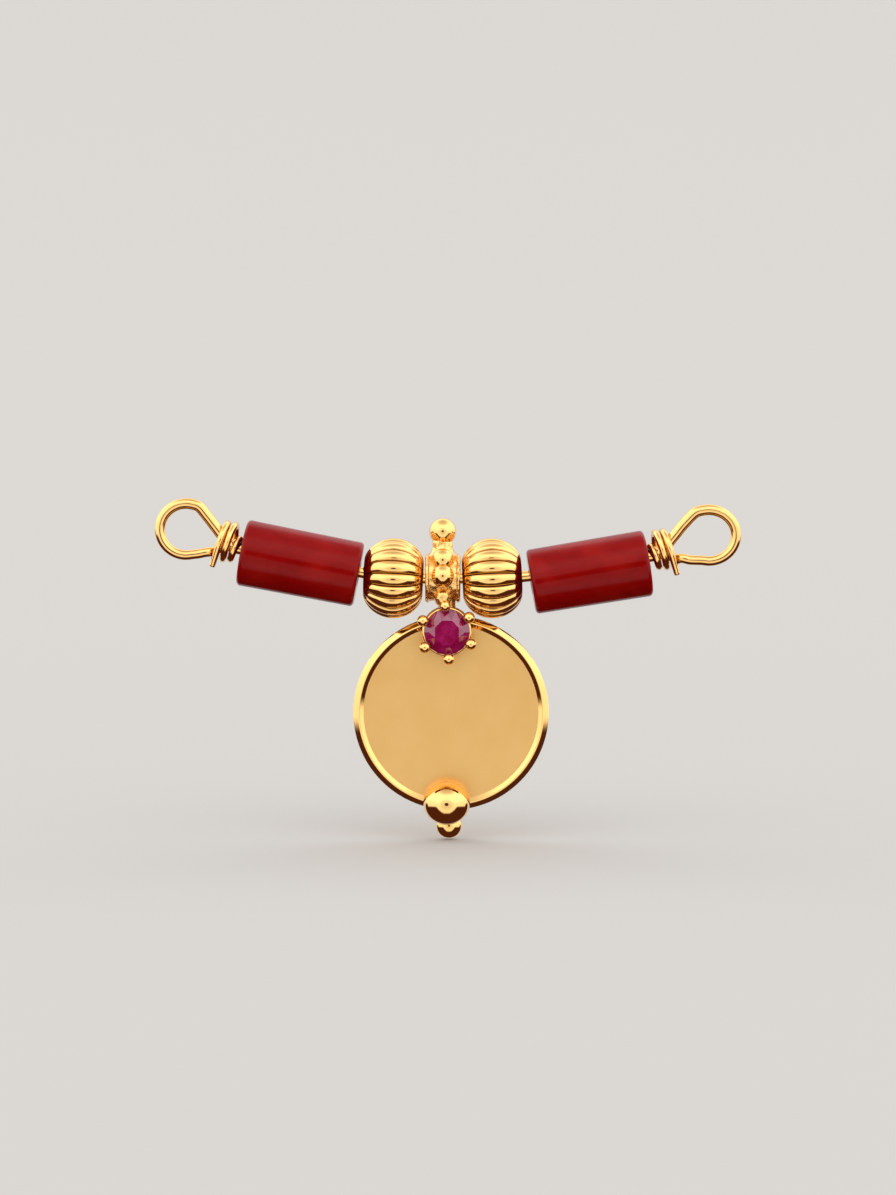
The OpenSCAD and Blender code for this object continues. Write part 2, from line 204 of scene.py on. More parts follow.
goldLook = {
    "light": "#e7bb77",        # 22-karat gold where it is freshly buffed
    "warm": "#deae64",         # where it has toned a little
    "deep": "#5a2406",         # painted shade in the grooves and pits
    "toneSize": 2.2,           # millimetres across a patch of tone
    "waveSize": 0.9,           # gentle unevenness left by hand buffing
    "pitSize": 0.26,           # pits left where solder has flowed
    "scratchSize": 0.12,       # buffing marks; real ones are finer and are drawn as coarse as this to show
    "drawLineSize": 0.11,      # lines left by the draw plate, also drawn coarser than life
    "drawLineStretch": 0.35,   # changes along such a line, for each millimetre
    # strength and millimetres of each relief; a plain face keeps only a trace of the buffed one
    "relief": {"buffed": (0.05, 0.05), "plain": (0.01, 0.01), "drawn": (0.2, 0.02), "soldered": (0.6, 0.09)},
    # the groove's depth, and the pits' height, where painted shade starts and is darkest, and how much of the
    # gold it covers there
    "grooveShade": (0.35, 0.95, 0.9), "pitShade": (0.42, 0.28, 0.7),
    "grooveRoughness": 0.35,     # how much rougher the gold is where its grooves are shaded
}


# Gold in the state that its maker left it. Every finish mirrors the room; what differs is how
# sharply and how evenly, and its relief: a buffed wave, solder pits or a draw plate's lines
def goldFinish(name, roughness, relief="buffed", grooves=False, uneven=0.3):
    look = goldLook
    material, tree, shader = newMaterial(name)
    shader.inputs["Metallic"].default_value = 1.0
    place = addNode(tree, "ShaderNodeTexCoord").outputs["Object"]
    cloud = addNode(tree, "ShaderNodeTexNoise", {
        "Vector": place, "Scale": 1 / (look["toneSize"] * mm), "Detail": 3.0, "Roughness": 0.55})
    color = addNode(tree, "ShaderNodeMix", {
        "Factor": cloud.outputs["Fac"], "A": linear(look["warm"]), "B": linear(look["light"])},
        data_type="RGBA").outputs["Result"]
    scratches = addNode(tree, "ShaderNodeTexNoise", {
        "Vector": place, "Scale": 1 / (look["scratchSize"] * mm), "Detail": 2.0})
    rough = addNode(tree, "ShaderNodeMapRange", {
        "Value": scratches.outputs["Fac"], "From Min": 0.3, "From Max": 0.7,
        "To Min": roughness * (1 - uneven), "To Max": roughness * (1 + uneven)})
    roughFrom = rough.outputs["Result"]
    if grooves:
        depth = addNode(tree, "ShaderNodeAttribute", attribute_name="groove").outputs["Fac"]
        # painted shade: the gold turns to the deep colour towards the bottom of each groove, and is rougher
        # there
        color, shadeShare = turnTo(tree, color, look["deep"], depth, look["grooveShade"])
        roughFrom = addNode(tree, "ShaderNodeMath", {0: shadeShare, 1: look["grooveRoughness"], 2: roughFrom},
                            operation="MULTIPLY_ADD").outputs["Value"]
    if relief == "drawn":
        around = addNode(tree, "ShaderNodeUVMap", uv_map="surface").outputs["UV"]
        stretch = addNode(tree, "ShaderNodeMapping", {
            "Vector": around, "Scale": (1 / look["drawLineSize"], look["drawLineStretch"], 1.0)})
        height = addNode(tree, "ShaderNodeTexNoise", {
            "Vector": stretch.outputs["Vector"], "Scale": 1.0, "Detail": 3.0, "Roughness": 0.6})
    elif relief == "soldered":
        height = addNode(tree, "ShaderNodeTexNoise", {
            "Vector": place, "Scale": 1 / (look["pitSize"] * mm), "Detail": 3.0, "Roughness": 0.6})
        # painted shade: the gold turns to the deep colour where the pits' height is low
        color = turnTo(tree, color, look["deep"], height.outputs["Fac"], look["pitShade"])[0]
    else:
        height = addNode(tree, "ShaderNodeTexNoise", {
            "Vector": place, "Scale": 1 / (look["waveSize"] * mm), "Detail": 0.0})
    strength, distance = look["relief"][relief]
    bump = addNode(tree, "ShaderNodeBump", {
        "Height": height.outputs["Fac"], "Strength": strength, "Distance": distance * mm})
    tree.links.new(color, shader.inputs["Base Color"])
    tree.links.new(roughFrom, shader.inputs["Roughness"])
    tree.links.new(bump.outputs["Normal"], shader.inputs["Normal"])
    return material


goldPolished = goldFinish("polished_22_karat_gold", 0.06)                     # a mirror with soft marks
goldSatin = goldFinish("satin_22_karat_gold", 0.34, "plain", uneven=0)        # an even glow
goldSoldered = goldFinish("soldered_22_karat_gold", 0.15, "soldered")         # pits where solder ran, with painted shade in them
goldPressed = goldFinish("pressed_22_karat_gold_sheet", 0.08, grooves=True)   # painted shade in its grooves
goldDrawn = goldFinish("drawn_22_karat_gold_wire", 0.07, "drawn")             # a streak of light along it

coralLook = {
    "color": "#7f0604",
    "deep": "#660202",         # in the growth lines
    "pale": "#95180f",         # in a few clouds
    "grainSize": 0.35,         # millimetres between the growth lines that run along the branch
    "grainStretch": 0.18,      # how much slower they change along it than across it
    "grainRelief": (0.12, 0.02),   # their strength and millimetres
    "cloudSize": 2.6,          # millimetres across a cloud
    "cloudLift": (0.45, 0.8, 0.5),  # where a cloud starts and is fullest, and how pale it is there
    "roughness": 0.13,
    "refraction": 1.5,
    "gloss": 0.09,             # old wax leaves it less shiny than bare polished coral
    "glow": 0.08,              # light that goes a little way in and comes out red
    "glowColor": (1.0, 0.12, 0.08),
    "glowDepth": 0.3,          # millimetres
}


# Polished red coral: a hard, dense branch ground to a tube and waxed, so deep red with faint
# growth lines under a soft gloss
def polishedCoral(name):
    look = coralLook
    material, tree, shader = newMaterial(name)
    along = addNode(tree, "ShaderNodeUVMap", uv_map="surface").outputs["UV"]
    stretch = addNode(tree, "ShaderNodeMapping", {
        "Vector": along, "Scale": (1 / look["grainSize"], look["grainStretch"] / look["grainSize"], 1.0)})
    grain = addNode(tree, "ShaderNodeTexNoise", {
        "Vector": stretch.outputs["Vector"], "Scale": 1.0, "Detail": 4.0, "Roughness": 0.6})
    place = addNode(tree, "ShaderNodeTexCoord").outputs["Object"]
    cloud = addNode(tree, "ShaderNodeTexNoise", {
        "Vector": place, "Scale": 1 / (look["cloudSize"] * mm), "Detail": 2.0})
    tone = addNode(tree, "ShaderNodeMix", {
        "Factor": grain.outputs["Fac"], "A": linear(look["deep"]), "B": linear(look["color"])},
        data_type="RGBA")
    color = turnTo(tree, tone.outputs["Result"], look["pale"], cloud.outputs["Fac"], look["cloudLift"])[0]
    strength, distance = look["grainRelief"]
    bump = addNode(tree, "ShaderNodeBump", {
        "Height": grain.outputs["Fac"], "Strength": strength, "Distance": distance * mm})
    tree.links.new(color, shader.inputs["Base Color"])
    tree.links.new(bump.outputs["Normal"], shader.inputs["Normal"])
    shader.inputs["Roughness"].default_value = look["roughness"]
    shader.inputs["IOR"].default_value = look["refraction"]
    shader.inputs["Specular IOR Level"].default_value = look["gloss"]
    shader.inputs["Subsurface Weight"].default_value = look["glow"]
    shader.inputs["Subsurface Radius"].default_value = look["glowColor"]
    shader.inputs["Subsurface Scale"].default_value = look["glowDepth"] * mm
    return material


coralRed = polishedCoral("polished_red_coral")

rubyLook = {
    "dark": "#86003c",
    "pale": "#b01f6a",         # where it is cloudy
    "cloudSize": 0.55,         # millimetres across a cloud of inclusions
    "cloudLift": (0.45, 0.75, 0.8),  # where a cloud starts and is fullest, and how pale it is there
    "roughness": 0.04,
    "refraction": 1.77,
    "seeThrough": 0.25,        # the share of light that passes, as the cloudy stone is nearly opaque
}


# Cut ruby: hard red corundum with clouds inside, so the table is deep magenta and each facet that
# faces the light has a pale gloss
def cutRuby(name):
    look = rubyLook
    material, tree, shader = newMaterial(name)
    place = addNode(tree, "ShaderNodeTexCoord").outputs["Object"]
    cloud = addNode(tree, "ShaderNodeTexNoise", {
        "Vector": place, "Scale": 1 / (look["cloudSize"] * mm), "Detail": 5.0, "Roughness": 0.7})
    color = turnTo(tree, linear(look["dark"]), look["pale"], cloud.outputs["Fac"], look["cloudLift"])[0]
    tree.links.new(color, shader.inputs["Base Color"])
    shader.inputs["Roughness"].default_value = look["roughness"]
    shader.inputs["IOR"].default_value = look["refraction"]
    shader.inputs["Transmission Weight"].default_value = look["seeThrough"]
    return material


rubyRed = cutRuby("cut_ruby")
print("materials made")

# millimetres; a pair of values is for the left and the right side
wireShape = {
    "thickness": 0.82, "returnThickness": 0.71, "wrapThickness": 0.5, "tipThickness": 0.44,
    "loopX": (18.56, 19.23), "loopRise": (3.53, 3.09),
    "loopHalfWidth": (1.91, 2.0), "loopHalfHeight": (1.87, 1.86),
    # degrees of slope beside the corals, and the middle and half width of the bend that leads there
    "slope": (10.9, 9.4), "bendX": (3.75, 5.54), "bendHalf": 1.85,
    "coralOut": (6.63, 5.08), "lowerLift": (0.0, 0.16),
    # the neck of the loop, from the coral's outer face; columns: along the slope, up from it, back
    "rise": [[0.35, 0.00, 0.0], [0.70, 0.00, 0.0], [1.02, 0.14, 0.0], [1.36, 0.43, 0.0],
             [1.85, 0.88, 0.0], [2.45, 1.42, 0.0], [3.03, 1.93, 0.0]],
    "lower": [[3.05, -0.89, 0.0], [2.70, -0.74, 0.0], [2.38, -0.64, 0.05]],
    "back": [[2.10, -0.54, 0.26], [1.86, -0.36, 0.59], [1.58, -0.12, 0.80], [1.22, 0.04, 0.81],
             [0.92, 0.12, 0.80], [0.67, 0.22, 0.79], [0.50, 0.42, 0.71]],
    # degrees where the loop's ring starts and ends and its step; the same for the wraps
    "ringAngles": (120, -104, 16), "wrapAngles": (60, 920, 5),
    "wrapStart": 0.37, "wrapPitch": 0.55, "wrapLean": 0.07, "wrapGap": 0.05, "wrapShift": 0.33,
    "wrapGrow": 0.59, "widen": (190, 320),  # the wraps widen between these angles, over both strands
    "tipLength": 1.5, "sides": 20, "step": 0.09, "bendPoints": 24, "pointsBetween": 12,
    # the cut ends; columns: distance beyond the end, share of the radius
    "cutEnd": [[0.02, 0.98], [0.045, 0.90], [0.06, 0.74], [0.062, 0.0]],
}
coralLength = 8.6


# A place beside the bail's middle from its distance along the sloping wire, up from it and back:
# x = bendX + along cos s - up sin s, y = back, z = along sin s + up cos s
def beside(side, p):
    slope = math.radians(wireShape["slope"][side])
    run, rise = math.cos(slope), math.sin(slope)
    return np.stack([wireShape["bendX"][side] + p[..., 0] * run - p[..., 1] * rise, p[..., 2],
                     p[..., 0] * rise + p[..., 1] * run], -1)


# A place given from the coral's outer face, as a place beside the bail's middle
def fromStem(side, p):
    return beside(side, np.asarray(p, float) + [wireShape["coralOut"][side] + coralLength / 2, 0, 0])


# A smooth curve through knots: between p1 and p2, p(t) = (2 p1 + (p2 - p0) t
# + (2 p0 - 5 p1 + 4 p2 - p3) t^2 + (3 p1 - p0 - 3 p2 + p3) t^3) / 2
def smoothThrough(knots, steps):
    k = np.vstack([knots[:1], knots, knots[-1:]])
    t = (np.arange(steps) / steps)[None, :, None]
    p0, p1, p2, p3 = (k[i:len(k) - 3 + i, None] for i in range(4))
    curve = 0.5 * (2 * p1 + (p2 - p0) * t + (2 * p0 - 5 * p1 + 4 * p2 - p3) * t ** 2
                   + (3 * p1 - p0 - 3 * p2 + p3) * t ** 3)
    return np.vstack([curve.reshape(-1, knots.shape[1]), knots[-1:]])


# Wraps, at turn angle a: with k from 0 to 1 where they widen and r = half of both thicknesses
# + gap + grow k, along = start + pitch (a - first) / 360 - lean r sin a, up = shift k + r sin a
# and back = shift k + r cos a
def wrapPoints(a):
    s = wireShape
    k = np.clip((a - s["widen"][0]) / (s["widen"][1] - s["widen"][0]), 0, 1)
    r = (s["thickness"] + s["wrapThickness"]) / 2 + s["wrapGap"] + s["wrapGrow"] * k
    up, back = r * np.sin(np.radians(a)), r * np.cos(np.radians(a))
    along = s["wrapStart"] + s["wrapPitch"] * (a - s["wrapAngles"][0]) / 360 - s["wrapLean"] * up
    return np.stack([along, s["wrapShift"] * k + up, s["wrapShift"] * k + back], 1)


# Places with the wire's thickness beside them as a fourth column
def withThickness(points, thickness):
    return np.column_stack([points, np.broadcast_to(thickness, len(points))])


# Half of the wire's middle line, out to its cut tip: a parabola up to the coral's slope, the
# stem, the ring (x = loopX + a cos t, z = loopRise + b sin t), the returning strand and the wraps
def halfPath(side):
    s = wireShape
    x = np.linspace(0, 2 * s["bendHalf"], s["bendPoints"])
    climb = math.tan(math.radians(s["slope"][side])) * x ** 2 / (4 * s["bendHalf"])
    bend = np.stack([s["bendX"][side] - s["bendHalf"] + x, 0 * x, climb], 1)
    first, last, step = s["ringAngles"]
    t = np.radians(np.arange(first, last - step / 2, -step))
    ring = np.stack([s["loopX"][side] + s["loopHalfWidth"][side] * np.cos(t), 0 * t,
                     s["loopRise"][side] + s["loopHalfHeight"][side] * np.sin(t)], 1)
    lower = np.asarray(s["lower"]) + [0, s["lowerLift"][side], 0]
    first, last, step = s["wrapAngles"]
    wraps = fromStem(side, wrapPoints(np.arange(first, last + step / 2, step)))
    heading = wraps[-1] - wraps[-2]
    tip = wraps[-1] + heading / np.linalg.norm(heading) * s["tipLength"]
    middle = smoothThrough(np.vstack([
        withThickness(fromStem(side, s["rise"]), s["thickness"]),
        withThickness(ring, np.linspace(s["thickness"], s["returnThickness"], len(ring))),
        withThickness(fromStem(side, lower), s["returnThickness"]),
        withThickness(fromStem(side, s["back"]), s["returnThickness"]),
        withThickness(wraps[:1], s["wrapThickness"])]), s["pointsBetween"])
    return np.vstack([withThickness(bend, s["thickness"]), middle,
                      withThickness(wraps[1:], s["wrapThickness"]),
                      withThickness(tip[None], s["tipThickness"])])


# Even steps along a line: each column is read at equal lengths and softened once by its neighbours
def evenSteps(path, step):
    length = np.concatenate([[0], np.cumsum(np.linalg.norm(np.diff(path[:, :3], axis=0), axis=1))])
    at = np.linspace(0, length[-1], int(length[-1] / step))
    even = np.stack([np.interp(at, length, column) for column in path.T], 1)
    even[1:-1] = 0.25 * even[:-2] + 0.5 * even[1:-1] + 0.25 * even[2:]
    return even


# A round bar: the circle r (side cos t + across sin t) carried along the path, where side is
# handed on from ring to ring without twisting
def sweptBar(path, sides):
    line, radius = path[:, :3], path[:, 3] / 2
    heading = np.gradient(line, axis=0)
    heading /= np.linalg.norm(heading, axis=1)[:, None]
    side = np.zeros_like(line)
    side[0] = np.cross(heading[0], [0, 1, 0])
    for i in range(1, len(line)):
        carried = side[i - 1] - (side[i - 1] @ heading[i]) * heading[i]
        side[i] = carried / np.linalg.norm(carried)
    across = np.cross(heading, side)
    t = np.linspace(0, 2 * np.pi, sides, endpoint=False)[None, :, None]
    circle = side[:, None] * np.cos(t) + across[:, None] * np.sin(t)
    points = line[:, None] + radius[:, None, None] * circle
    run = np.linalg.norm(np.diff(line, axis=0), axis=1).sum()
    return gridShell(points, False, True, (2 * np.pi * radius.max(), run))


# The path goes on past an end by the table of the cut end, along the end's own heading
def cutEnd(end, before):
    table = np.asarray(wireShape["cutEnd"])
    heading = (end - before)[:3] / np.linalg.norm((end - before)[:3])
    return np.column_stack([end[:3] + table[:, :1] * heading, end[3] * table[:, 1]])


# One bar in all: the left half from its tip to the bail, the right half out to its tip, and a
# rounded cut at each end
def makeWire():
    mirror = np.array([-1.0, 1.0, 1.0, 1.0])
    path = np.vstack([(halfPath(0) * mirror)[::-1], halfPath(1)])
    path = evenSteps(path, wireShape["step"])
    path = np.vstack([cutEnd(path[0], path[1])[::-1], path, cutEnd(path[-1], path[-2])])
    path[:, :3] += bailMiddle
    wire = shellObject("gold_wire", [sweptBar(path, wireShape["sides"])], [goldDrawn])
    finishPiece(wire, "wire", "wire")


makeWire()

coralShape = {
    "diameter": 4.84, "taper": 0.14, "edge": 0.3, "bore": 1.8, "lip": 0.08, "hang": (0.2, 0.43),
    # slow waves left by grinding; columns: turns round the tube, share of the radius
    "waves": [[2, 0.004], [3, 0.0035], [5, 0.0016]],
    "waveBend": (0.15, 0.45),  # radians that a wave turns for each millimetre along the tube
    "sides": 128, "points": {"wall": 46, "face": 6, "edge": 9, "lip": 4},
}


# A coral tube: an outline (lip, face, rounded edge, wall, rounded edge, face, lip, hole) carried
# round, with each radius times 1 + the sum of size sin(turns t + bend h + phase)
def coralShell(side, seed):
    s, n = coralShape, coralShape["points"]
    rIn, rOut, e = (s["diameter"] - s["taper"]) / 2, s["diameter"] / 2, s["edge"]
    hole, lip, long = s["bore"] / 2, s["lip"], coralLength
    wall = np.linspace([rIn, e], [rOut, long - e], n["wall"])[1:-1]
    faceIn = np.linspace([hole + lip, 0], [rIn - e, 0], n["face"])[:-1]
    faceOut = np.linspace([rOut - e, long], [hole + lip, long], n["face"])[1:]
    inside = np.linspace([hole, long - lip], [hole, lip], n["face"])[1:-1]
    outline = np.vstack([
        arc(hole + lip, lip, lip, 180, 270, n["lip"])[:-1], faceIn,
        arc(rIn - e, e, e, -90, 0, n["edge"]), wall, arc(rOut - e, long - e, e, 0, 90, n["edge"]), faceOut,
        arc(hole + lip, long - lip, lip, 90, 180, n["lip"])[1:], inside])
    t = np.linspace(0, 2 * np.pi, s["sides"], endpoint=False)[None]
    r, h = outline[:, :1], outline[:, 1:]
    rng = np.random.default_rng(seed)
    wave = np.zeros((len(outline), s["sides"]))
    for turns, size in s["waves"]:
        phase, bend = rng.uniform(0, 2 * np.pi), rng.uniform(*s["waveBend"])
        wave += size * np.sin(turns * t + phase + bend * h)
    r = r * (1 + wave * np.clip(r - hole - lip, 0, 1))
    start = wireShape["coralOut"][side] - long / 2
    points = np.stack([start + h + 0 * t, r * np.sin(t) - s["hang"][side], r * np.cos(t)], 2)
    points = onSide(beside(side, points), side) + bailMiddle
    return gridShell(points, True, True, (2 * np.pi * rOut, np.abs(np.diff(outline, axis=0)).sum()))


for side, name, seed in ((0, "left", 4), (1, "right", 9)):
    coral = shellObject("coral_tube_" + name, [coralShell(side, seed)], [coralRed])
    finishPiece(coral, "wire", "coral_" + name)

beadShape = {
    "diameter": 5.86, "length": 4.3, "endDiameter": 2.6, "swell": 1.2,
    "start": 1.42,             # from the bail's middle to the bead's near end
    "tilt": 2.5,               # degrees up outwards
    "ribs": 18, "depth": 0.3, "cushion": 2.0,
    "fade": 1.6,               # the grooves keep their full depth up to where this times sin a is 1
    # a rolled end, in to the hole's wall; columns: radius inside the end's radius, depth inside the end
    "end": [[0.03, 0.0], [0.12, 0.0], [0.20, 0.04], [0.49, 0.04], [0.54, 0.09]],
    "endAngle": 0.05,          # radians from the end where the ribbed rows start
    "perRib": 16, "rows": 48,
}


# A ribbed bead: place = start + length (1 - cos a) / 2 and radius = e + (R - e) sin(a)^swell
# - depth g (1 - sqrt(1 - |q|^cushion)), where q goes from -1 to 1 across a rib and g = min(1,
# fade sin a); its rolled ends and hole are rows of one radius each. Gives the groove's depth too
def beadShell(side):
    s = beadShape
    columns = s["ribs"] * s["perRib"]
    a = np.linspace(s["endAngle"], np.pi - s["endAngle"], s["rows"])[:, None]
    across = 2 * (np.arange(columns)[None] % s["perRib"]) / s["perRib"] - 1
    fade = np.minimum(1, s["fade"] * np.sin(a))
    groove = fade * (1 - np.sqrt(1 - np.abs(across) ** s["cushion"]))
    e = s["endDiameter"] / 2
    r = e + (s["diameter"] / 2 - e) * np.sin(a) ** s["swell"] - s["depth"] * groove
    x = s["start"] + s["length"] / 2 * (1 - np.cos(a)) + 0 * across
    inside, deep = np.asarray(s["end"]).T[..., None] + np.zeros((1, 1, columns))
    radii = np.vstack([(e - inside)[::-1], r, e - inside])
    places = np.vstack([(s["start"] + deep)[::-1], x, s["start"] + s["length"] - deep])
    groove = np.vstack([0 * inside, groove, 0 * inside])
    t = (2 * np.pi * np.arange(columns) / columns + np.pi / s["ribs"])[None]
    points = np.stack([places, radii * np.cos(t), radii * np.sin(t)], 2)
    # tilted up outwards about its own middle
    middle, tilt = np.array([s["start"] + s["length"] / 2, 0, 0]), math.radians(s["tilt"])
    turn = np.array([[math.cos(tilt), 0, math.sin(tilt)], [0, 1, 0], [-math.sin(tilt), 0, math.cos(tilt)]])
    points = onSide((points - middle) @ turn + middle, side) + bailMiddle
    return gridShell(points, True, True, (s["diameter"] * np.pi, s["length"])), groove


for side, name in ((0, "left"), (1, "right")):
    shell, groove = beadShell(side)
    bead = shellObject("ribbed_bead_" + name, [shell], [goldPressed], {"groove": groove.ravel()})
    finishPiece(bead, "wire", "melon_bead_" + name, sharpAngle=60)

# millimetres; a drop is down from the bail's middle, a shift to the right of it, back is behind it,
# z is above it, and out is before the disc's middle plane
thaliShape = {
    "discDiameter": 14.2, "discDrop": 9.8, "discShift": 0.6, "discBack": 0.36, "discThick": 0.55,
    "rimWidth": 0.74, "rimHeight": 0.24, "rimCrestShare": 0.6, "rimCrestFlat": 0.06, "rimSideTop": 0.28,
    "edgeBreak": 0.02, "backBevel": 0.12,
    "bailDiameter": 3.34, "bailLength": 2.56, "bore": 0.94, "boreLip": 0.06,
    "endBead": 0.32, "endBeadSink": 0.04, "endBeadTurn": 70,
    # balls on the bail's front; columns: x, y, z from the bail's middle, diameter, 1 where it is pitted
    "bailBalls": [[0, -1.20, 1.36, 1.66, 0], [0, -1.78, 0.23, 1.66, 0], [0, -1.20, -1.31, 1.44, 1]],
    "finialDiameter": 1.96, "finialZ": 3.38, "neckRadius": 0.76, "neckFlare": 0.5, "neckCurve": 3.3,
    "neckZ": (1.2, 1.62, 2.6), "neckPin": 0.73, "pinStart": 0.05,
    "post": (0.3, 0.12, 0.65, -3.0, -1.0, 0.05),      # x, y, radius, foot, top and bevel
    "stoneDrop": 3.84, "settingShift": 0.3, "prongRing": 1.92, "prongThick": 0.42, "prongBall": 0.84,
    "prongTurn": 4, "prongTip": 1.81, "prongFoot": 0.12, "prongMiddle": 0.8, "prongBallFrom": -60,
    # rings of the setting; columns: radius, thickness, height above the disc's face
    "rings": [[1.62, 0.44, 0.12], [1.64, 0.30, 0.80]],
    "footBall": 3.38, "footFlat": 0.92, "footShift": 0.28, "footZ": -16.25, "footOut": 1.5,
    "dripBall": 1.92, "dripShift": 0.45, "dripZ": -18.05, "dripStem": 0.5, "dripStemTop": -16.55,
    # dents left where solder has flowed round the bail: how many, how deep and how wide
    "dents": (300, 0.035, 0.17),
    # points along each stretch of an outline, and sides round a form; balls have rows and sides
    "points": {"face": 20, "slope": 4, "bevel": 6, "corner": 6, "back": 16, "wall": 16, "endBead": 8,
               "beadTurn": 6, "neck": 16, "neckSide": 4, "pin": 5, "prongBall": 18},
    "sides": {"disc": 256, "bail": 96, "neck": 64, "rod": 40, "prong": 28},
    "balls": {"finial": (40, 72), "bail": (36, 64), "foot": (48, 96), "drip": (32, 64)},
}


# The disc: a flat face, a slope up to the rim's crest, a straight bevel outside it, and a flat back
def discShell(finishFace, finishRim):
    s, n, sides = thaliShape, thaliShape["points"], thaliShape["sides"]["disc"]
    r, half = s["discDiameter"] / 2, s["discThick"] / 2
    crest, inner, top = r - s["rimCrestShare"] * s["rimWidth"], r - s["rimWidth"], half + s["rimHeight"]
    flat, corner, sideTop, broken = s["rimCrestFlat"] / 2, s["backBevel"], s["rimSideTop"], s["edgeBreak"]
    face = np.linspace([0, half], [inner, half], n["face"])
    slope = np.linspace([inner, half], [crest - flat, top], n["slope"])
    bevel = np.linspace([crest + flat, top], [r - broken, sideTop + broken / 2], n["bevel"])
    foot = arc(r - corner, -half + corner, corner, 0, -90, n["corner"])
    back = np.linspace([r - corner, -half], [0, -half], n["back"])[1:]
    outline = np.vstack([face, slope[1:], bevel, [[r, sideTop - broken / 2]], foot, back])
    at = bailMiddle + [s["discShift"], s["discBack"], -s["discDrop"]]
    shell = turned(outline, sides, at, "y")
    # the quads come row by row: those of the face first and those of the back last
    row = np.arange(len(shell["quads"])) // sides
    level = (row < len(face) - 1) | (row >= row[-1] + 1 - len(back))
    shell["finish"] = np.where(level, finishFace, finishRim)
    return shell


# The flared neck under the top ball: radius = r + flare (1 - q)^curve, with q from 0 to 1 up it
def neckProfile():
    s, n = thaliShape, thaliShape["points"]
    foot, low, high = s["neckZ"]
    q = np.linspace(0, 1, n["neck"])
    neck = np.stack([s["neckRadius"] + s["neckFlare"] * (1 - q) ** s["neckCurve"], low + (high - low) * q], 1)
    side = np.linspace([neck[0, 0], foot], neck[0], n["neckSide"])[:-1]
    pin = np.linspace([s["neckPin"], high + s["pinStart"]], [s["neckPin"], s["finialZ"]], n["pin"])
    return np.vstack([[[0, foot]], side, neck, pin, [[0, s["finialZ"]]]])


# The bail: a tube with a bead of round wire at each end, as one closed outline round its axis
def bailProfile():
    s, n = thaliShape, thaliShape["points"]
    half, r, hole, end = s["bailLength"] / 2, s["bailDiameter"] / 2, s["bore"] / 2, s["endBead"] / 2
    beadR, lip, turn = r - s["endBeadSink"], s["boreLip"], s["endBeadTurn"]
    wall = np.linspace([r, -half + 2 * end], [r, half - 2 * end], n["wall"])
    return np.vstack([
        [[hole, -half + lip], [hole + lip, -half]], arc(beadR, -half + end, end, -90, 0, n["endBead"]),
        arc(beadR, -half + end, end, 0, turn, n["beadTurn"])[1:], wall[1:-1],
        arc(beadR, half - end, end, -turn, 0, n["beadTurn"])[:-1],
        arc(beadR, half - end, end, 0, 90, n["endBead"]), [[hole + lip, half], [hole, half - lip]]])


# Six ball-tipped prongs, each a profile (stem and ball) turned about its own line, and two rings
def settingShells():
    s, n = thaliShape, thaliShape["points"]
    centre = bailMiddle + [s["settingShift"], s["discBack"] - s["discThick"] / 2, -s["stoneDrop"]]
    ballR, stemR = s["prongBall"] / 2, s["prongThick"] / 2
    tip = arc(0, s["prongTip"], ballR, s["prongBallFrom"], 90, n["prongBall"])
    tip[-1, 0] = 0             # on the axis exactly, so that the pole closes
    stem = [[0, s["prongFoot"]], [stemR, s["prongFoot"]], [stemR, s["prongMiddle"]], [stemR, tip[0, 1]]]
    profile = np.vstack([stem, tip[1:]])
    angles = np.radians(90 + s["prongTurn"] + 60 * np.arange(6))
    feet = centre + s["prongRing"] * np.stack([np.cos(angles), 0 * angles, np.sin(angles)], 1)
    rings = [ringShell(radius, thick, centre - [0, height, 0], "y") for radius, thick, height in s["rings"]]
    return [turned(profile, s["sides"]["prong"], foot, "y") for foot in feet] + rings


# A whole array of one of a mesh's own values
def readAll(items, key, width, kind=np.float32):
    values = np.empty(len(items) * width, kind)
    items.foreach_get(key, values)
    return values.reshape(-1, width) if width > 1 else values


# Overlapping closed shells become one skin, as solder leaves it: a boolean union of them all,
# less the slivers that it leaves along its seams. Two triangles with the same three corners are
# a sliver folded flat
def soldered(name, shells, materials):
    helpers = [shellObject(name + "_" + str(i), [shell], materials) for i, shell in enumerate(shells)]
    for helper in helpers[1:]:
        join = helpers[0].modifiers.new(helper.name, "BOOLEAN")
        join.operation, join.solver, join.object = "UNION", "MANIFOLD", helper
    graph = bpy.context.evaluated_depsgraph_get()
    mesh = bpy.data.meshes.new_from_object(helpers[0].evaluated_get(graph))
    mesh.name = name
    work = bmesh.new()
    work.from_mesh(mesh)
    bmesh.ops.remove_doubles(work, verts=work.verts, dist=seamReach * mm)
    bmesh.ops.dissolve_degenerate(work, edges=work.edges, dist=seamReach * mm)
    bmesh.ops.triangulate(work, faces=work.faces)
    work.to_mesh(mesh)
    corners = np.sort(readAll(mesh.loops, "vertex_index", 1, np.int32).reshape(-1, 3), 1)
    _, place, count = np.unique(corners, axis=0, return_inverse=True, return_counts=True)
    work.faces.ensure_lookup_table()
    folded = [work.faces[i] for i in np.flatnonzero(count[place.ravel()] > 1)]
    bmesh.ops.delete(work, geom=folded, context="FACES")
    work.to_mesh(mesh)
    work.free()
    for helper in helpers:
        bpy.data.meshes.remove(helper.data)
    return inScene(name, mesh)


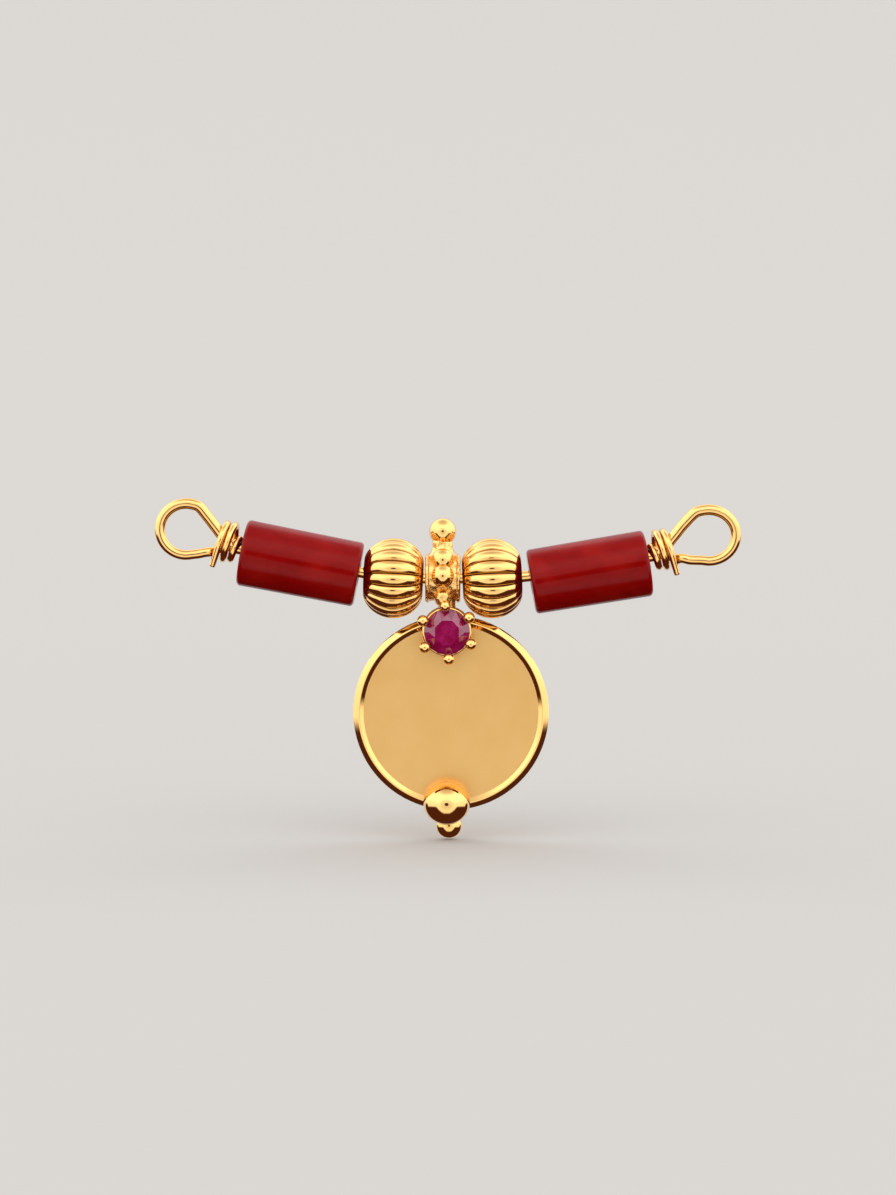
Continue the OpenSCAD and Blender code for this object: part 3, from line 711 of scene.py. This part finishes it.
# Dents in the faces of one finish: a point at distance d from a dent's middle goes in along its
# normal by depth exp(-(d / size)^2), summed over the dents
def dent(mesh, finish, count, depth, size, seed=3):
    places = readAll(mesh.vertices, "co", 3) / mm
    normals = readAll(mesh.vertex_normals, "vector", 3)
    corners = readAll(mesh.loops, "vertex_index", 1, np.int32)
    finishes = np.repeat(readAll(mesh.polygons, "material_index", 1, np.int32),
                         readAll(mesh.polygons, "loop_total", 1, np.int32))
    dented = np.setdiff1d(corners[finishes == finish], corners[finishes != finish])
    middles = places[np.random.default_rng(seed).choice(dented, count)]
    near = ((places[dented, None] - middles[None]) ** 2).sum(2)
    places[dented] -= normals[dented] * (depth * np.exp(-near / size ** 2)).sum(1)[:, None]
    mesh.vertices.foreach_set("co", (places * mm).ravel())
    mesh.update()


# The whole drop, from the disc and the bail down to the small ball at its foot, soldered into one
def makeThali():
    s, sides, balls = thaliShape, thaliShape["sides"], thaliShape["balls"]
    polished, satin, pitted = 0, 1, 2
    shells = [discShell(satin, polished),
              turned(bailProfile(), sides["bail"], bailMiddle, "x", True, pitted),
              turned(neckProfile(), sides["neck"], bailMiddle, finish=pitted),
              ballShell(s["finialDiameter"], bailMiddle + [0, 0, s["finialZ"]], balls["finial"])]
    shells += [ballShell(diameter, bailMiddle + [x, y, z], balls["bail"], finish=pitted * isPitted)
               for x, y, z, diameter, isPitted in s["bailBalls"]]
    x, y, r, foot, top, bevel = s["post"]
    post = [[0, foot], [r - bevel, foot], [r, foot + bevel], [r, top], [0, top]]
    shells.append(turned(post, sides["rod"], bailMiddle + [x, y, 0], finish=pitted))
    shells += settingShells()
    footAt = bailMiddle + [s["footShift"], s["discBack"] - s["footOut"], s["footZ"]]
    shells.append(ballShell(s["footBall"], footAt, balls["foot"], s["footFlat"]))
    dripAt = bailMiddle + [s["dripShift"], s["discBack"], s["dripZ"]]
    stemTop = s["dripStemTop"] - s["dripZ"]
    shells.append(ballShell(s["dripBall"], dripAt, balls["drip"]))
    stem = [[0, 0], [s["dripStem"], 0], [s["dripStem"], stemTop], [0, stemTop]]
    shells.append(turned(stem, sides["rod"], dripAt))
    thali = soldered("thali_drop", shells, [goldPolished, goldSatin, goldSoldered])
    dent(thali.data, pitted, *s["dents"])
    finishPiece(thali, "thali", "thali")


makeThali()

rubyShape = {
    "diameter": 3.32, "crown": 0.5, "girdle": 0.1, "pavilion": 1.12,
    "height": 1.38,            # of the girdle's middle, above the disc's face
    # shares of the radius, and of the crown's or the pavilion's height
    "table": 0.56, "starRadius": 0.78, "starShare": 0.56, "lowRadius": 0.3, "lowShare": 0.72,
}


# A ring of corners: (r cos t, r sin t, h) with t in even steps from a first angle in degrees
def cornerRing(count, radius, height, first=0.0):
    t = np.radians(360 / count * np.arange(count) + first)
    return np.stack([radius * np.cos(t), radius * np.sin(t), np.full(count, float(height))], 1)


# A round brilliant: rings of 8, 8, 16, 16 and 8 corners and a point, joined by an eight-sided
# table, stars, kites and girdle facets above and mains and girdle facets below, all flat
def makeRuby():
    s = rubyShape
    r, half, halfStep = s["diameter"] / 2, s["girdle"] / 2, 360 / 8 / 2
    points = np.vstack([
        cornerRing(8, s["table"] * r, half + s["crown"], halfStep),
        cornerRing(8, s["starRadius"] * r, half + s["crown"] * s["starShare"]),
        cornerRing(16, r, half), cornerRing(16, r, -half),
        cornerRing(8, s["lowRadius"] * r, -half - s["pavilion"] * s["lowShare"]),
        [[0, 0, -half - s["pavilion"]]]])
    table, star, top, low, main, point = 0, 8, 16, 32, 48, 56     # where each ring starts
    k, g = np.arange(8), np.arange(16)
    n, after, next16 = (k + 1) % 8, (2 * k + 2) % 16, (g + 1) % 16
    groups = [[table + k, star + n, table + n],
              [table + k, star + k, top + 2 * k + 1, star + n],
              [star + k, top + 2 * k, top + 2 * k + 1],
              [star + n, top + 2 * k + 1, top + after],
              [top + g, low + g, low + next16, top + next16],
              [low + 2 * k, main + k, low + 2 * k + 1],
              [low + 2 * k + 1, main + n, low + after],
              [low + 2 * k + 1, main + k, np.full(8, point), main + n]]
    faces = [(table + k).tolist()] + [f for group in groups for f in np.stack(group, 1).tolist()]
    # the stone's own up is towards the front
    points = np.stack([points[:, 0], -points[:, 2], points[:, 1]], 1)
    t = thaliShape
    front = t["discBack"] - t["discThick"] / 2
    points += bailMiddle + [t["settingShift"], front - s["height"], -t["stoneDrop"]]
    mesh = bpy.data.meshes.new("ruby_stone")
    mesh.from_pydata((points * mm).tolist(), [], faces)
    mesh.materials.append(rubyRed)
    work = bmesh.new()
    work.from_mesh(mesh)
    bmesh.ops.recalc_face_normals(work, faces=work.faces)
    work.to_mesh(mesh)
    work.free()
    finishPiece(inScene("ruby_stone", mesh), "thali", "ruby", smooth=False)


makeRuby()

# the floor, the room and the camera, in millimetres and degrees
studio = {
    "floorZ": -22.4, "floorColor": "#a9a6a1", "floorRoughness": 0.9, "floorGloss": 0.1,
    "flat": 150.0, "sweep": 1200.0,         # radius of the level floor, and of the curve that it goes up in
    "sweepShare": 0.96,                     # how far out it goes, as a share of that curve's radius
    "floorRows": 40, "floorSides": 96,
    "target": (0.045, 0.0, -4.72), "azimuth": 0.0, "elevation": 3.0, "distance": 190.0, "frameHeight": 86.6,
    "sensorHeight": 36.0, "clip": (0.01, 20.0),     # the clipping distances are in metres
    "backColor": "#dedad4",                 # what the camera itself sees past the floor
    # the room's brightness by height; columns: the direction's z, brightness
    "room": [[-1.0, 1.4], [-0.3, 1.6], [0.1, 1.8], [0.35, 2.2], [0.8, 2.2], [0.92, 1.2], [1.0, 0.9]],
    "tint": (1.0, 1.0, 1.02),               # its light is a little cool
    # the dark warm ground that the gold reflects from below, which climbs to the sides and behind;
    # columns: the direction's x or y, and the z up to which it is ground
    "groundAside": [[-1.0, -0.2], [-0.79, -0.2], [-0.6, -0.46], [-0.4, -0.65], [-0.2, -0.76], [0.2, -0.76],
                    [0.4, -0.65], [0.6, -0.46], [0.79, -0.2], [1.0, -0.2]],
    "groundBack": [[-1.0, -0.9], [0.0, -0.9], [0.1, -0.65], [0.2, -0.3], [0.3, -0.05], [0.6, -0.05],
                   [0.8, -0.8], [1.0, -0.85]],
    "groundColor": (0.10, 0.032, 0.018),    # linear light
    "groundSoft": 0.08,                     # half the width of its soft edge, in z
    "behind": (0.5, 0.95, 0.42),            # the y where the room starts and ends dimming, and the share left
    # dim patches in it; columns: degrees aside from the camera, degrees up, inner and outer degrees, share
    "patches": [[0, 3, 14, 38, 0.70], [0, 3, 8, 11, 0.05]],
}


# A level round floor that goes on in a curve: height = sweep - sqrt(sweep^2 - (r - flat)^2)
def makeFloor():
    s = studio
    outermost = s["flat"] + s["sweepShare"] * s["sweep"]
    r = np.concatenate([[0.0], np.linspace(s["flat"], outermost, s["floorRows"])])
    rise = s["sweep"] - np.sqrt(s["sweep"] ** 2 - np.clip(r - s["flat"], 0, None) ** 2)
    board, tree, shader = newMaterial("pale_matt_board")
    shader.inputs["Base Color"].default_value = linear(s["floorColor"])
    shader.inputs["Roughness"].default_value = s["floorRoughness"]
    shader.inputs["Specular IOR Level"].default_value = s["floorGloss"]
    shell = turned(np.stack([r, rise], 1), s["floorSides"], (0, 0, s["floorZ"]))
    floor = shellObject("studio_floor", [shell], [board])
    floor.data.polygons.foreach_set("use_smooth", [True] * len(floor.data.polygons))
    # the camera sees the floor, and the room lights the jewel past it
    floor.visible_glossy = floor.visible_diffuse = floor.visible_transmission = floor.visible_shadow = False


# The direction to a place at some azimuth from the front and some elevation, both in degrees
def towards(azimuth, elevation):
    a, e = math.radians(azimuth), math.radians(elevation)
    return Vector((math.sin(a) * math.cos(e), -math.cos(a) * math.cos(e), math.sin(e)))


# A value that follows rows of place and value, in straight lines, as a coordinate goes from -1 to 1
def followRows(tree, rows, coordinate):
    lowest, highest = min(row[1] for row in rows), max(row[1] for row in rows)
    share = addNode(tree, "ShaderNodeMapRange", {"Value": coordinate, "From Min": -1.0, "From Max": 1.0})
    ramp = addNode(tree, "ShaderNodeValToRGB", {"Fac": share.outputs["Result"]})
    while len(ramp.color_ramp.elements) < len(rows):
        ramp.color_ramp.elements.new(0.5)     # each gets its own place below
    for element, (place, value) in zip(ramp.color_ramp.elements, rows):
        element.position = (place + 1) / 2
        element.color = ((value - lowest) / (highest - lowest),) * 3 + (1,)
    return addNode(tree, "ShaderNodeMapRange", {
        "Value": ramp.outputs["Color"], "To Min": lowest, "To Max": highest}).outputs["Result"]


# The room's light by direction d = (x, y, z): a ramp on z, dimmer far behind the jewel and in some
# round patches, such as where the camera stands; a dark ground lies where z is below the higher of
# a ramp on x and a ramp on y. The camera sees one plain colour in its place
def makeWorld():
    s = studio
    world = bpy.data.worlds.new("soft_studio")
    bpy.context.scene.world = world
    world.use_nodes = True
    tree = world.node_tree
    tree.nodes.clear()
    direction = addNode(tree, "ShaderNodeTexCoord").outputs["Generated"]
    d = addNode(tree, "ShaderNodeSeparateXYZ", {"Vector": direction})
    level = followRows(tree, s["room"], d.outputs["Z"])
    aside = followRows(tree, s["groundAside"], d.outputs["X"])
    back = followRows(tree, s["groundBack"], d.outputs["Y"])
    edge = addNode(tree, "ShaderNodeMath", {0: aside, 1: back}, operation="MAXIMUM").outputs["Value"]
    start, end, left = s["behind"]
    behind = addNode(tree, "ShaderNodeMapRange", {
        "Value": d.outputs["Y"], "From Min": start, "From Max": end, "To Min": 1.0, "To Max": left},
        interpolation_type="SMOOTHSTEP")
    dims = [behind.outputs["Result"]]
    for azimuth, elevation, near, far, share in s["patches"]:
        facing = addNode(tree, "ShaderNodeVectorMath", {
            0: direction, 1: towards(s["azimuth"] + azimuth, elevation)}, operation="DOT_PRODUCT")
        patch = addNode(tree, "ShaderNodeMapRange", {
            "Value": facing.outputs["Value"], "From Min": math.cos(math.radians(far)),
            "From Max": math.cos(math.radians(near)), "To Min": 1.0, "To Max": share},
            interpolation_type="SMOOTHSTEP")
        dims.append(patch.outputs["Result"])
    for dim in dims:
        level = addNode(tree, "ShaderNodeMath", {0: level, 1: dim}, operation="MULTIPLY").outputs["Value"]
    light = addNode(tree, "ShaderNodeVectorMath", {"Vector": s["tint"], "Scale": level}, operation="SCALE")
    above = addNode(tree, "ShaderNodeMath", {0: d.outputs["Z"], 1: edge}, operation="SUBTRACT")
    lit = addNode(tree, "ShaderNodeMapRange", {
        "Value": above.outputs["Value"], "From Min": -s["groundSoft"], "From Max": s["groundSoft"]},
        interpolation_type="SMOOTHSTEP")
    color = addNode(tree, "ShaderNodeMix", {
        "Factor": lit.outputs["Result"], "A": (*s["groundColor"], 1), "B": light.outputs["Vector"]},
        data_type="RGBA")
    room = addNode(tree, "ShaderNodeBackground", {"Color": color.outputs["Result"], "Strength": 1.0})
    plain = addNode(tree, "ShaderNodeBackground", {"Color": linear(s["backColor"]), "Strength": 1.0})
    seen = addNode(tree, "ShaderNodeLightPath").outputs["Is Camera Ray"]
    mixed = addNode(tree, "ShaderNodeMixShader", {
        0: seen, 1: room.outputs["Background"], 2: plain.outputs["Background"]})
    addNode(tree, "ShaderNodeOutputWorld", {"Surface": mixed.outputs["Shader"]})


# The camera frames a given height at a given distance: focal length = sensor distance / height
def makeCamera():
    s = studio
    lens = bpy.data.cameras.new("camera")
    lens.sensor_fit, lens.sensor_height = "VERTICAL", s["sensorHeight"]
    lens.lens = s["sensorHeight"] * s["distance"] / s["frameHeight"]
    lens.clip_start, lens.clip_end = s["clip"]
    camera = inScene("camera", lens)
    away = towards(s["azimuth"], s["elevation"])
    camera.location = (Vector(s["target"]) + away * s["distance"]) * mm
    camera.rotation_euler = (-away).to_track_quat("-Z", "Y").to_euler()
    bpy.context.scene.camera = camera


makeFloor()
makeWorld()
makeCamera()
bpy.context.scene.view_settings.view_transform = "Standard"
print("studio made")
